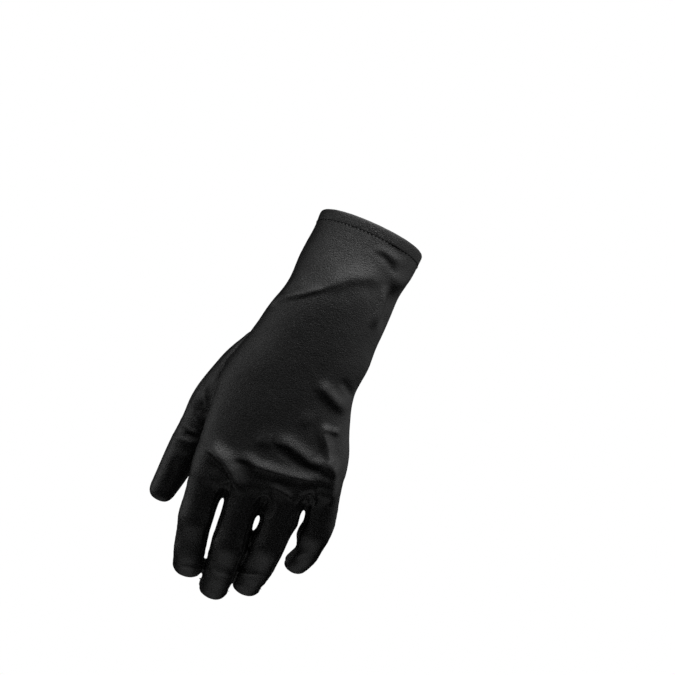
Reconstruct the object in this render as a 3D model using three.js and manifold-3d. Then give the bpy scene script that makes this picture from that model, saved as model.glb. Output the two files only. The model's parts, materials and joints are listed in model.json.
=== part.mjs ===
// A wrist-length satin dress glove for a left hand, in the form it has when worn.
// +Z runs up the forearm and out of the wrist opening, whose rim lies around the origin.
// The fingers hang towards -Z and curl towards +Y, so the back of the hand faces -Y and the thumb -X.
// Each cut piece of cloth is one solid: the back, the palm, the thumb, three fourchettes and the hem.
import * as THREE from "three";
import { mergeVertices } from "three/addons/utils/BufferGeometryUtils.js";
import Module from "manifold-3d";

const wasm = await Module();
wasm.setup();

// Cloth, in millimetres
const clothWall = 1.2;
const seamGap = 0.3;
const hemHeight = 6;
const hemFold = 2; // the turned-in edge is two layers of cloth
const hemProud = 0.5; // the hem stands out this far past the cuff below it

// Cuff and palm, in millimetres
const handLength = 141; // rim of the cuff to the middle knuckle
const cuffWidth = 59;
const cuffDepth = 44;
const palmWidth = 80;
const palmDepth = 28;
const knuckleReach = 9; // the palm narrows to its end over this length below the knuckles

// Fingers and thumb, in millimetres: each length runs from its knuckle to its tip
const indexLength = 85;
const middleLength = 101.5;
const ringLength = 95.5;
const littleLength = 76;
const thumbLength = 65;
const fingerWidth = 20.6;
const fingerDepth = 18;
const littleWidth = 18.2;
const littleDepth = 16;
const thumbWidth = 21;
const thumbDepth = 19;
const tipRound = 8; // length of the blunt, rounded fingertip
const jointReach = 9; // a joint's bend is spread this far to either side of it

// Seams, in millimetres
const fourchetteHalf = 5.5; // half the height of a fourchette at the crotch
const fourchettePoint = 1.2; // and half its height at the fingertip
const fourchetteTaper = 0.3; // it narrows from this share of the finger's length
const webHalf = 7.6; // half the height of the cloth between two fingers
const webSpread = 1.25; // and how much higher it is where it starts in the palm
const thumbSeamReach = 2.2; // the thumb piece reaches this far out past the thumb's own tube
const thumbSeamPalm = 9; // and this much further over the palm

// How square the rings are: 2 is an ellipse, and more is squarer
const cuffSquareness = 2.15;
const palmSquareness = 2.6;
const squaring = { from: 0.3, to: 0.9 }; // where one turns into the other, as shares of handLength
const fingerSquareness = 2.2;
const tipSquareness = 2.6; // of a fingertip's side view
const tipEnd = 0.26; // width of its flat end, as a share of the finger there

// Fineness of the mesh
const handPoints = 28; // corners of one ring of the palm
const fingerPoints = 12;
const handRingStep = 0.052; // from ring to ring, as a share of handLength
const fingerRingStep = 10;
const walkStep = 2; // a finger's curved middle line is followed in steps no longer than this
const farOut = 70; // clear of the glove on every side

// Sections of the cuff and palm. down is a share of handLength, side of palmWidth and front of palmDepth.
// wide and deep go from 0 at the cuff's size to 1 at the palm's. slant follows the line of knuckles;
// lean is the forearm's lean, and then the curl of the fingers, in degrees.
const handSections = [
  { down: 0.0, side: 0.0, front: 0.0, wide: 0.0, deep: 0.0, slant: 0, lean: -14 },
  { down: 0.08, side: 0.0, front: 0.1, wide: -0.03, deep: 0.06, slant: 0, lean: -14 },
  { down: 0.185, side: -0.02, front: 0.23, wide: -0.08, deep: 0.15, slant: 0, lean: -14 },
  { down: 0.29, side: -0.016, front: 0.36, wide: -0.08, deep: 0.25, slant: 0, lean: -11 },
  { down: 0.39, side: -0.037, front: 0.435, wide: 0.07, deep: 0.32, slant: 0, lean: -4 },
  { down: 0.48, side: -0.048, front: 0.46, wide: 0.23, deep: 0.38, slant: 1, lean: 0 },
  { down: 0.59, side: -0.078, front: 0.465, wide: 0.38, deep: 0.46, slant: 3, lean: 0 },
  { down: 0.68, side: -0.075, front: 0.465, wide: 0.62, deep: 0.58, slant: 5, lean: 0 },
  { down: 0.76, side: -0.045, front: 0.465, wide: 0.76, deep: 0.7, slant: 7, lean: 2 },
  { down: 0.84, side: -0.01, front: 0.46, wide: 0.92, deep: 0.82, slant: 9, lean: 5 },
  { down: 0.91, side: 0.013, front: 0.46, wide: 1.0, deep: 0.98, slant: 11, lean: 9 },
  { down: 0.96, side: 0.022, front: 0.445, wide: 1.01, deep: 1.1, slant: 13, lean: 14 },
  { down: 1.0, side: 0.03, front: 0.42, wide: 1.0, deep: 1.26, slant: 14, lean: 20 },
];

// The palm's end, which narrows to an edge between the fingers. on goes from the knuckles to its end.
const closingSections = [
  { on: 0, wide: 1, deep: 1 },
  { on: 0.4, wide: 0.97, deep: 0.84 },
  { on: 0.75, wide: 0.92, deep: 0.62 },
  { on: 1, wide: 0.86, deep: 0.34 },
];

// Sections of every finger and of the thumb. at is a share of its length, wide and deep of its size.
const fingerSections = [
  { at: -0.12, wide: 0.86, deep: 0.96 },
  { at: 0.0, wide: 1.02, deep: 1.24 },
  { at: 0.22, wide: 1.0, deep: 1.06 },
  { at: 0.36, wide: 0.93, deep: 0.96 },
  { at: 0.47, wide: 0.91, deep: 0.97 },
  { at: 0.6, wide: 0.85, deep: 0.86 },
  { at: 0.75, wide: 0.82, deep: 0.82 },
  { at: 0.9, wide: 0.8, deep: 0.72 },
  { at: 1.0, wide: 0.78, deep: 0.68 },
];
const thumbSections = [
  { at: -0.9, wide: 1.0, deep: 0.7 },
  { at: -0.57, wide: 1.24, deep: 0.95 },
  { at: -0.32, wide: 1.38, deep: 1.28 },
  { at: -0.02, wide: 1.22, deep: 1.16 },
  { at: 0.28, wide: 0.98, deep: 0.98 },
  { at: 0.53, wide: 0.91, deep: 0.97 },
  { at: 0.78, wide: 0.77, deep: 0.82 },
  { at: 0.9, wide: 0.68, deep: 0.76 },
  { at: 1.0, wide: 0.64, deep: 0.7 },
];

// The index, middle, ring and little finger. side is the knuckle's share of palmWidth, down of
// handLength, front of palmDepth and joints of the finger's length. curls are the angles of its three
// bones to the forearm, and sways the angles at which they drift towards the little finger, in degrees.
const fingers = [
  {
    length: indexLength, width: fingerWidth, depth: fingerDepth,
    side: -0.335, front: 0.45, down: 0.975, joints: [0.47, 0.75], curls: [20, 38, 48], sways: [5.2, 8.5, 9.5],
  },
  {
    length: middleLength, width: fingerWidth, depth: fingerDepth,
    side: -0.065, front: 0.47, down: 0.972, joints: [0.455, 0.74], curls: [22, 46, 60], sways: [5, 4, 0.5],
  },
  {
    length: ringLength, width: fingerWidth, depth: fingerDepth,
    side: 0.19, front: 0.45, down: 0.944, joints: [0.44, 0.73], curls: [22, 47, 61], sways: [4.6, 0.4, -4.5],
  },
  {
    length: littleLength, width: littleWidth, depth: littleDepth,
    side: 0.396, front: 0.4, down: 0.89, joints: [0.44, 0.71], curls: [24, 46, 58], sways: [14, 3, -8],
  },
];

// The thumb's knuckle as shares of the same sizes, and the directions of its three bones:
// the one under the palm, which carries it, and the two that show.
const thumb = {
  length: thumbLength, width: thumbWidth, depth: thumbDepth,
  side: -0.492, front: -0.1, down: 0.812, joints: [0.53],
  palmCurl: 14, palmSway: -21, curls: [15, 13], sways: [-6.5, -6.5],
};

// Where the cloth between two fingers ends, as shares of the two fingers' lengths.
const webs = [
  { name: "fourchette_index_middle", from: 0, reach: [0.25, 0.225] },
  { name: "fourchette_middle_ring", from: 1, reach: [0.225, 0.215] },
  { name: "fourchette_ring_little", from: 2, reach: [0.15, 0.28] },
];

// Folds of the cloth on the back of the hand, and two on its palm. Each runs from one point to another:
// x is a share of palmWidth, z of handLength. rise and reach are shares of palmDepth.
const folds = [
  { face: "back", x1: -0.4, z1: -0.44, x2: 0.02, z2: -0.3, rise: 0.05, reach: 0.14 },
  { face: "back", x1: -0.38, z1: -0.49, x2: 0.06, z2: -0.36, rise: -0.05, reach: 0.16 },
  { face: "back", x1: 0.3, z1: -0.17, x2: 0.26, z2: -0.36, rise: -0.07, reach: 0.12 },
  { face: "back", x1: 0.22, z1: -0.17, x2: 0.17, z2: -0.34, rise: 0.04, reach: 0.12 },
  { face: "back", x1: -0.02, z1: -0.1, x2: 0.27, z2: -0.13, rise: -0.03, reach: 0.12 },
  { face: "back", x1: 0.14, z1: -0.62, x2: 0.36, z2: -0.66, rise: 0.06, reach: 0.18 },
  { face: "back", x1: 0.1, z1: -0.75, x2: 0.3, z2: -0.86, rise: 0.05, reach: 0.16 },
  { face: "back", x1: -0.36, z1: -0.97, x2: 0.34, z2: -0.94, rise: 0.06, reach: 0.2 },
  { face: "palm", x1: -0.42, z1: -0.36, x2: 0.3, z2: -0.33, rise: -0.05, reach: 0.16 },
  { face: "palm", x1: -0.1, z1: -0.6, x2: 0.1, z2: -0.92, rise: -0.08, reach: 0.3 },
];

const radians = THREE.MathUtils.degToRad;
const mix = THREE.MathUtils.lerp;
const smooth = THREE.MathUtils.smoothstep;

// A table's value of one column, at a place along another, through a smooth curve.
function column(rows, place, along, name) {
  const last = rows.length - 1;
  if (place <= rows[0][along]) return rows[0][name];
  if (place >= rows[last][along]) return rows[last][name];
  const i = rows.findIndex((row) => row[along] > place) - 1;
  const slope = (k) => {
    const a = rows[Math.max(k - 1, 0)];
    const b = rows[Math.min(k + 1, last)];
    return (b[name] - a[name]) / (b[along] - a[along]);
  };
  const span = rows[i + 1][along] - rows[i][along];
  const t = (place - rows[i][along]) / span;
  const rest = 1 - t;
  return (
    rest * rest * (1 + 2 * t) * rows[i][name] + t * rest * rest * span * slope(i)
    + t * t * (3 - 2 * t) * rows[i + 1][name] - t * t * rest * span * slope(i + 1)
  );
}

// A closed mesh through rings of points, with a flat fan at each end, facing out.
function sleeve(rings) {
  const count = rings[0].length;
  const points = rings.flat();
  const middleOf = (ring) => ring.reduce((sum, p) => sum.add(p), new THREE.Vector3()).divideScalar(count);
  points.push(middleOf(rings[0]), middleOf(rings[rings.length - 1]));
  const faces = [];
  for (let j = 0; j < count; j++) {
    const k = (j + 1) % count;
    for (let i = 0; i + 1 < rings.length; i++) {
      const [a, b] = [i * count, (i + 1) * count];
      faces.push(a + j, b + j, b + k, a + j, b + k, a + k);
    }
    const end = (rings.length - 1) * count;
    faces.push(points.length - 2, j, k, points.length - 1, end + k, end + j);
  }
  return meshOf(points, faces);
}

// A closed slab between two sheets, each a grid of rows and columns of points.
function slab(front, behind) {
  const [rows, columns] = [front.length, front[0].length];
  const points = [...front.flat(), ...behind.flat()];
  const faces = [];
  const quad = (a, b, c, d) => faces.push(a, b, c, a, c, d);
  const behindAt = rows * columns;
  for (let i = 0; i + 1 < rows; i++) {
    for (let j = 0; j + 1 < columns; j++) {
      const [a, b] = [i * columns + j, (i + 1) * columns + j];
      quad(a, b, b + 1, a + 1);
      quad(behindAt + a, behindAt + a + 1, behindAt + b + 1, behindAt + b);
    }
    const [a, b, last] = [i * columns, (i + 1) * columns, columns - 1];
    quad(a, behindAt + a, behindAt + b, b);
    quad(a + last, b + last, behindAt + b + last, behindAt + a + last);
  }
  const end = (rows - 1) * columns;
  for (let j = 0; j + 1 < columns; j++) {
    quad(j, j + 1, behindAt + j + 1, behindAt + j);
    quad(end + j, behindAt + end + j, behindAt + end + j + 1, end + j + 1);
  }
  return meshOf(points, faces);
}

function meshOf(points, faces) {
  const geometry = new THREE.BufferGeometry().setFromPoints(points);
  geometry.setIndex(faces);
  return geometry;
}

function solidOf(geometry) {
  const merged = mergeVertices(geometry, 1e-4);
  const solid = new wasm.Manifold(new wasm.Mesh({
    numProp: 3,
    vertProperties: merged.attributes.position.array,
    triVerts: new Uint32Array(merged.index.array),
  }));
  if (solid.volume() <= 0) throw new Error("a mesh faces inwards");
  return solid;
}

const joined = (solids) => solids.reduce((sum, solid) => sum.add(solid));

// The largest body of a solid: a cut along a seam can leave a crumb beside the piece of cloth.
function largest(solid) {
  return solid.decompose().reduce((best, body) => (body.volume() > best.volume() ? body : best));
}

// One corner of a ring with bulging sides, on half axes of 1.
function corner(angle, squareness) {
  const part = (value) => Math.sign(value) * Math.abs(value) ** (2 / squareness);
  return [part(Math.cos(angle)), part(Math.sin(angle))];
}

// How far the folds lift the cloth at a point of the hand.
function foldLift(point, middle) {
  let lift = 0;
  for (const fold of folds) {
    const facing = fold.face === "back" ? middle.y - point.y : point.y - middle.y;
    const [x1, z1] = [fold.x1 * palmWidth, fold.z1 * handLength];
    const [x2, z2] = [fold.x2 * palmWidth, fold.z2 * handLength];
    const [dx, dz] = [x2 - x1, z2 - z1];
    const t = THREE.MathUtils.clamp(((point.x - x1) * dx + (point.z - z1) * dz) / (dx * dx + dz * dz), 0, 1);
    const away = Math.hypot(point.x - x1 - t * dx, point.z - z1 - t * dz);
    const onItsFace = smooth(facing, 0, palmDepth / 4);
    lift += onItsFace * fold.rise * palmDepth * Math.exp(-((away / (fold.reach * palmDepth)) ** 2));
  }
  return lift;
}

// The ring of the cuff or palm at a share of the hand's length, set in from the outer face.
function handRing(down, inset, closing = { wide: 1, deep: 1 }) {
  const of = (name) => column(handSections, down, "down", name);
  const halfWidth = mix(cuffWidth, palmWidth, of("wide")) / 2;
  const halfDepth = mix(cuffDepth, palmDepth, of("deep")) / 2;
  const turn = new THREE.Euler(radians(of("lean")), radians(-of("slant")), 0, "YXZ");
  const middle = new THREE.Vector3(of("side") * palmWidth, -of("front") * palmDepth, -down * handLength);
  const squareness = mix(cuffSquareness, palmSquareness, smooth(down, squaring.from, squaring.to));
  return Array.from({ length: handPoints }, (_, i) => {
    const [x, y] = corner((2 * Math.PI * i) / handPoints, squareness);
    const outer = new THREE.Vector3(x * halfWidth, y * halfDepth, 0).applyEuler(turn).add(middle);
    const reach = inset - foldLift(outer, middle);
    const ring = new THREE.Vector3(x * (halfWidth - reach), y * (halfDepth - reach), 0);
    ring.x *= closing.wide;
    ring.y *= closing.deep;
    return ring.applyEuler(turn).add(middle);
  });
}

// The cuff and palm as one closed solid, from one place below the rim to the knuckles.
function handSolid(inset, top) {
  const start = top / handLength;
  const count = Math.ceil((1 - start) / handRingStep);
  const rings = Array.from({ length: count }, (_, i) => handRing(mix(start, 1, i / count), inset));
  const past = handLength + knuckleReach - inset;
  for (const row of closingSections) {
    rings.push(handRing(mix(handLength, past, row.on) / handLength, inset, row));
  }
  return solidOf(sleeve(rings));
}

// Where a finger is, and how it is turned, at a distance from its knuckle, which is negative in the palm.
function walk(finger, distance) {
  const bends = [0, ...finger.joints].map((share) => share * finger.length);
  const along = (angles, start, s) => angles.reduce((sum, angle, i) => {
    const before = i ? angles[i - 1] : start;
    return sum + (angle - before) * smooth(s, bends[i] - jointReach, bends[i] + jointReach);
  }, start);
  const palmCurl = finger.palmCurl ?? 0;
  const palmSway = finger.palmSway ?? 0;
  const frameAt = (s) => {
    const curl = radians(along(finger.curls, palmCurl, s));
    const sway = radians(along(finger.sways, palmSway, s));
    const [sinCurl, cosCurl] = [Math.sin(curl), Math.cos(curl)];
    const [sinSway, cosSway] = [Math.sin(sway), Math.cos(sway)];
    return {
      onward: new THREE.Vector3(sinSway, sinCurl * cosSway, -cosCurl * cosSway),
      right: new THREE.Vector3(cosSway, -sinCurl * sinSway, cosCurl * sinSway),
      palm: new THREE.Vector3(0, cosCurl, sinCurl),
    };
  };
  const place = new THREE.Vector3(
    finger.side * palmWidth, -finger.front * palmDepth, -finger.down * handLength,
  );
  const steps = Math.max(1, Math.ceil(Math.abs(distance) / walkStep));
  const step = distance / steps;
  for (let i = 0; i < steps; i++) place.addScaledVector(frameAt((i + 0.5) * step).onward, step);
  return { place, ...frameAt(distance) };
}

// A finger or the thumb as one closed solid, set in from its outer face, with a blunt rounded tip.
function fingerSolid(finger, sections, inset, palmReach = 0) {
  const length = finger.length - inset;
  const round = tipRound - inset;
  const start = sections[0].at * finger.length;
  const straight = length - round;
  const places = [];
  const count = Math.round((straight - start) / fingerRingStep);
  for (let i = 0; i < count; i++) places.push({ s: mix(start, straight, i / count), shrink: 1 });
  for (const past of [0, 0.45, 0.78, 1]) {
    const shrink = (1 + tipEnd ** tipSquareness - past ** tipSquareness) ** (1 / tipSquareness);
    places.push({ s: straight + past * round, shrink });
  }
  const rings = places.map(({ s, shrink }) => {
    const { place, right, palm } = walk(finger, s);
    const share = s / finger.length;
    const halfWidth = (column(sections, share, "at", "wide") * finger.width) / 2 - inset;
    const halfDepth = (column(sections, share, "at", "deep") * finger.depth + palmReach) / 2 - inset;
    place.addScaledVector(palm, palmReach / 2);
    return Array.from({ length: fingerPoints }, (_, i) => {
      const [x, y] = corner((2 * Math.PI * i) / fingerPoints, fingerSquareness);
      const point = place.clone().addScaledVector(right, x * halfWidth * shrink);
      return point.addScaledVector(palm, y * halfDepth * shrink);
    });
  });
  return solidOf(sleeve(rings));
}

// A sheet through the middles of two fingers, lifted off them towards the palm by a height for each row.
function sheetBetween(a, b, rows, lift) {
  return rows.map((row) => [
    walk(a, row.share * a.length),
    walk(b, (row.other ?? row.share) * b.length),
  ].map(({ place, palm }) => place.addScaledVector(palm, lift(row))));
}

// The cloth between two fingers above their crotch, as a solid slab.
function webSolid(web, inset) {
  const [a, b] = [fingers[web.from], fingers[web.from + 1]];
  const rows = [-0.1, 0, 0.5, 1].map((t) => ({
    share: t * (web.reach[0] - inset / a.length), other: t * (web.reach[1] - inset / b.length), t,
  }));
  const half = (row) => mix(webSpread, 1, Math.max(row.t, 0)) * webHalf - inset;
  return solidOf(slab(
    sheetBetween(a, b, rows, (row) => -half(row)),
    sheetBetween(a, b, rows, half),
  ));
}

// The space that a fourchette takes: the facing sides of two fingers, down to a point near their tips.
function fourchetteSpace(web, grow) {
  const [a, b] = [fingers[web.from], fingers[web.from + 1]];
  const shares = [0.02, 0.12, 0.24, 0.36, 0.47, 0.58, 0.7, 0.82, 0.93];
  const rows = shares.map((share) => ({ share: share + (share === shares.at(-1) ? grow / a.length : 0) }));
  const half = (row) => mix(fourchetteHalf, fourchettePoint, smooth(row.share, fourchetteTaper, 1)) + grow;
  return solidOf(slab(
    sheetBetween(a, b, rows, (row) => -half(row)),
    sheetBetween(a, b, rows, half),
  ));
}

// Everything on the back's side of the seam that runs round the hand and each finger.
function backSpace(shift) {
  const outside = new THREE.Vector3(farOut, 0, 0);
  const handRow = (down, lift) => fingers.map((finger) => new THREE.Vector3(
    finger.side * palmWidth,
    lift - column(handSections, down, "down", "front") * palmDepth,
    -down * handLength,
  ));
  const fingerRow = (share, lift) => fingers.map((finger) => {
    const { place, palm } = walk(finger, share * finger.length);
    return place.addScaledVector(palm, lift);
  });
  const sheet = (lift) => [
    ...[-0.1, 0.1, 0.25, 0.4, 0.5, 0.7].map((down) => handRow(down, lift)),
    ...[0, 0.1, 0.3, 0.4, 0.47, 0.55, 0.68, 0.76, 0.84, 1.2].map((share) => fingerRow(share, lift)),
  ].map((row) => [row[0].clone().sub(outside), ...row, row[row.length - 1].clone().add(outside)]);
  return solidOf(slab(sheet(-farOut), sheet(shift)));
}

// The whole glove as one hollow skin, then cut along its seams
const thumbTube = (inset) => fingerSolid(thumb, thumbSections, inset);
const thumbSpace = (grow) => fingerSolid(thumb, thumbSections, -thumbSeamReach - grow, thumbSeamPalm);
const whole = (inset, top) => joined([
  handSolid(inset, top),
  ...fingers.map((finger) => fingerSolid(finger, fingerSections, inset)),
  ...webs.map((web) => webSolid(web, inset)),
  thumbTube(inset),
]);
const cuffTop = hemHeight + seamGap;
const skin = whole(0, cuffTop).subtract(whole(clothWall, -hemHeight));

const thumbCloth = largest(skin.intersect(thumbSpace(0)));
const fourchettes = webs.map((web) => largest(skin.intersect(fourchetteSpace(web, 0))));
const rest = [
  thumbSpace(seamGap),
  ...webs.map((web) => fourchetteSpace(web, seamGap)),
].reduce((left, space) => left.subtract(space), skin);
const backCloth = largest(rest.intersect(backSpace(-seamGap / 2)));
const palmCloth = largest(rest.subtract(backSpace(seamGap / 2)));

// The hem: the cuff's edge turned in, so it is twice as thick and stands a little proud
function hemSolid() {
  const inside = hemFold * clothWall - hemProud;
  const section = [
    { down: hemHeight, inset: -hemProud },
    { down: clothWall / 2, inset: -hemProud },
    { down: 0, inset: clothWall / 2 - hemProud },
    { down: clothWall / 2, inset: inside },
    { down: hemHeight, inset: inside },
  ];
  const rings = section.map(({ down, inset }) => handRing(down / handLength, inset));
  const faces = [];
  for (let i = 0; i < rings.length; i++) {
    for (let j = 0; j < handPoints; j++) {
      const [a, b] = [i * handPoints, ((i + 1) % rings.length) * handPoints];
      const k = (j + 1) % handPoints;
      faces.push(a + j, a + k, b + k, a + j, b + k, b + j);
    }
  }
  return solidOf(meshOf(rings.flat(), faces));
}

function geometryOf(solid) {
  const mesh = solid.getMesh();
  const geometry = new THREE.BufferGeometry();
  geometry.setAttribute("position", new THREE.BufferAttribute(mesh.vertProperties, 3));
  geometry.setIndex(new THREE.BufferAttribute(mesh.triVerts, 1));
  geometry.computeVertexNormals();
  return geometry;
}

const glove = new THREE.Group();
glove.name = "dress_glove";

function addCloth(name, solid) {
  const satin = new THREE.MeshStandardMaterial({ color: 0x141416, roughness: 0.38, metalness: 0 });
  const mesh = new THREE.Mesh(geometryOf(solid), satin);
  mesh.name = name;
  glove.add(mesh);
}

addCloth("back_panel", backCloth);
addCloth("palm_panel", palmCloth);
addCloth("thumb_panel", thumbCloth);
webs.forEach((web, i) => addCloth(web.name, fourchettes[i]));
addCloth("cuff_hem", hemSolid());

export default glove;
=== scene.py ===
import json
import math

import bmesh
import bpy
import numpy as np
from mathutils import Matrix, Vector, noise
from mathutils.kdtree import KDTree

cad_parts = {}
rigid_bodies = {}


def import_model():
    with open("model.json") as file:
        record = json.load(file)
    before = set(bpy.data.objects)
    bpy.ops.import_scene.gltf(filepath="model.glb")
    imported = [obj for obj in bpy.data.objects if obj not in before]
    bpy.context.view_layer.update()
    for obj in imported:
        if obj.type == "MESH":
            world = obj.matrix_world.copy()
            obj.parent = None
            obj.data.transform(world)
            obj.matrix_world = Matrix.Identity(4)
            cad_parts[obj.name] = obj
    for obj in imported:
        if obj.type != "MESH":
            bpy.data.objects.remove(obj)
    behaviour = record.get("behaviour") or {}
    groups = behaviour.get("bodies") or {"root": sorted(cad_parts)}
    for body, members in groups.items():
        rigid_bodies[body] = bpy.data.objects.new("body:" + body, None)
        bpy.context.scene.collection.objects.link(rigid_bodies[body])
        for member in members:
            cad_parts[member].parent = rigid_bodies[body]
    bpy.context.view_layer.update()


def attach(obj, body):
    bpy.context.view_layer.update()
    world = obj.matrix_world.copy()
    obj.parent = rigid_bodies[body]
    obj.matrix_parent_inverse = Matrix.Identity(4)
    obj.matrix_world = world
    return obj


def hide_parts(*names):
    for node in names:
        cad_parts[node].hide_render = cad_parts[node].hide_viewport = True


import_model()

# A worn left-hand satin glove. The tables are in millimetres or shares, the meshes in metres.
mm = 0.001

handForm = {
    "length": 141, "cuffWidth": 59, "cuffDepth": 44, "palmWidth": 80, "palmDepth": 28,
    "knuckleReach": 9, "corners": 96, "ringStep": 2.0, "closingRings": 7,
    # the cuff's rings are nearly ellipses and the palm's are squarer; squaring: where they change
    "squareness": (2.15, 2.6), "squaring": (0.3, 0.9),
    # down is a share of the length, side of the palm's width, front of its depth;
    # wide and deep go from the cuff's size (0) to the palm's (1)
    "sections": [
        {"down": 0.0, "side": 0.0, "front": 0.0, "wide": 0.0, "deep": 0.0, "slant": 0, "lean": -14},
        {"down": 0.08, "side": 0.0, "front": 0.1, "wide": -0.03, "deep": 0.06, "slant": 0, "lean": -14},
        {"down": 0.185, "side": -0.02, "front": 0.23, "wide": -0.08, "deep": 0.15, "slant": 0, "lean": -14},
        {"down": 0.29, "side": -0.016, "front": 0.36, "wide": -0.08, "deep": 0.25, "slant": 0, "lean": -11},
        {"down": 0.39, "side": -0.037, "front": 0.435, "wide": 0.07, "deep": 0.32, "slant": 0, "lean": -4},
        {"down": 0.48, "side": -0.048, "front": 0.46, "wide": 0.23, "deep": 0.38, "slant": 1, "lean": 0},
        {"down": 0.59, "side": -0.078, "front": 0.465, "wide": 0.38, "deep": 0.46, "slant": 3, "lean": 0},
        {"down": 0.68, "side": -0.075, "front": 0.465, "wide": 0.62, "deep": 0.58, "slant": 5, "lean": 0},
        {"down": 0.76, "side": -0.045, "front": 0.465, "wide": 0.76, "deep": 0.7, "slant": 7, "lean": 2},
        {"down": 0.84, "side": -0.01, "front": 0.46, "wide": 0.92, "deep": 0.82, "slant": 9, "lean": 5},
        {"down": 0.91, "side": 0.013, "front": 0.46, "wide": 1.0, "deep": 0.98, "slant": 11, "lean": 9},
        {"down": 0.96, "side": 0.022, "front": 0.445, "wide": 1.01, "deep": 1.1, "slant": 13, "lean": 14},
        {"down": 1.0, "side": 0.03, "front": 0.42, "wide": 1.0, "deep": 1.26, "slant": 14, "lean": 20},
    ],
    "closing": [
        {"on": 0, "wide": 1, "deep": 1},
        {"on": 0.4, "wide": 0.97, "deep": 0.84},
        {"on": 0.75, "wide": 0.92, "deep": 0.62},
        {"on": 1, "wide": 0.86, "deep": 0.34},
    ],
}

fingerForm = {
    "corners": 40, "ringStep": 1.6, "tipRound": 8, "tipRings": 9, "tipSquareness": 2.8, "squareness": 2.2,
    "jointReach": 9,
    # how far the bone's line is followed past the knuckle and the tip
    "before": 45, "beyond": 25,
    "sections": [
        {"at": -0.12, "wide": 0.86, "deep": 0.96},
        {"at": 0.0, "wide": 1.02, "deep": 1.24},
        {"at": 0.22, "wide": 1.0, "deep": 1.06},
        {"at": 0.36, "wide": 0.93, "deep": 0.96},
        {"at": 0.47, "wide": 0.91, "deep": 0.97},
        {"at": 0.6, "wide": 0.85, "deep": 0.86},
        {"at": 0.75, "wide": 0.82, "deep": 0.82},
        {"at": 0.9, "wide": 0.8, "deep": 0.72},
        {"at": 1.0, "wide": 0.78, "deep": 0.68},
    ],
    # side, front and down: the knuckle's place as shares of the palm's width and depth and the hand's
    # length; joints: shares of the finger's length; curls and sways: each bone's direction in degrees;
    # bulges: places as shares of the length, side 1 towards the little finger, out in millimetres
    "index": {"length": 85, "width": 20.6, "depth": 18, "side": -0.335, "front": 0.45, "down": 0.975,
              "joints": (0.47, 0.75), "curls": (20, 38, 48), "sways": (5.6, 9.4, 10.5)},
    "middle": {"length": 101.5, "width": 20.6, "depth": 18, "side": -0.065, "front": 0.47, "down": 0.972,
               "joints": (0.455, 0.74), "curls": (22, 46, 60), "sways": (5, 4.4, 0),
               "bulges": [{"at": 0.52, "reach": 0.08, "side": 1, "out": 0.8},
                          {"at": 0.28, "reach": 0.07, "side": 1, "out": -0.8},
                          {"at": 0.26, "reach": 0.1, "side": -1, "out": -0.5}]},
    "ring": {"length": 95.5, "width": 20.6, "depth": 18, "side": 0.19, "front": 0.45, "down": 0.944,
             "joints": (0.44, 0.73), "curls": (22, 47, 61), "sways": (4.6, 0.4, -4.5),
             "bulges": [{"at": 0.6, "reach": 0.1, "side": -1, "out": 1.1},
                        {"at": 0.34, "reach": 0.07, "side": -1, "out": -0.9},
                        {"at": 0.28, "reach": 0.09, "side": 1, "out": 1.2},
                        {"at": 0.82, "reach": 0.12, "side": 1, "out": -0.8}]},
    "little": {"length": 76, "width": 17.8, "depth": 16, "side": 0.396, "front": 0.4, "down": 0.89,
               "joints": (0.44, 0.71), "curls": (24, 46, 58), "sways": (14, 1.5, -12),
               "bulges": [{"at": 0.52, "reach": 0.09, "side": -1, "out": 2.5},
                          {"at": 0.85, "reach": 0.16, "side": -1, "out": -0.7},
                          {"at": 0.72, "reach": 0.16, "side": 1, "out": -0.7},
                          {"at": 0.36, "reach": 0.12, "side": 1, "out": 0.7}]},
}

thumbForm = {
    "sections": [
        {"at": -0.9, "wide": 1.0, "deep": 0.7},
        {"at": -0.57, "wide": 1.24, "deep": 0.95},
        {"at": -0.32, "wide": 1.38, "deep": 1.28},
        {"at": -0.02, "wide": 1.22, "deep": 1.16},
        {"at": 0.28, "wide": 0.98, "deep": 0.98},
        {"at": 0.53, "wide": 0.91, "deep": 0.97},
        {"at": 0.78, "wide": 0.77, "deep": 0.82},
        {"at": 0.9, "wide": 0.68, "deep": 0.76},
        {"at": 1.0, "wide": 0.64, "deep": 0.7},
    ],
    "length": 65, "width": 21, "depth": 19, "side": -0.492, "front": -0.1, "down": 0.812,
    "joints": (0.53,), "curls": (15, 13), "sways": (-6.5, -6.5), "palmCurl": 14, "palmSway": -21,
    "before": 70, "beyond": 20,
    "bulges": [{"at": -0.2, "reach": 0.24, "side": -1, "out": -0.9},
               {"at": 0.85, "reach": 0.3, "side": -1, "out": -0.8},
               {"at": 0.85, "reach": 0.3, "side": 1, "out": 1.1}],
}

webForm = {  # reach: how far the web runs down this finger and the next, as shares of their lengths
    "half": 7.6, "corners": 24, "rings": 13, "squareness": 3.0, "start": -0.2, "spread": 0.25,
    "thinFrom": 0.7, "thinning": 1.6,
    "reach": {"index": (0.17, 0.16), "middle": (0.215, 0.205), "ring": (0.125, 0.25)},
}

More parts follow.
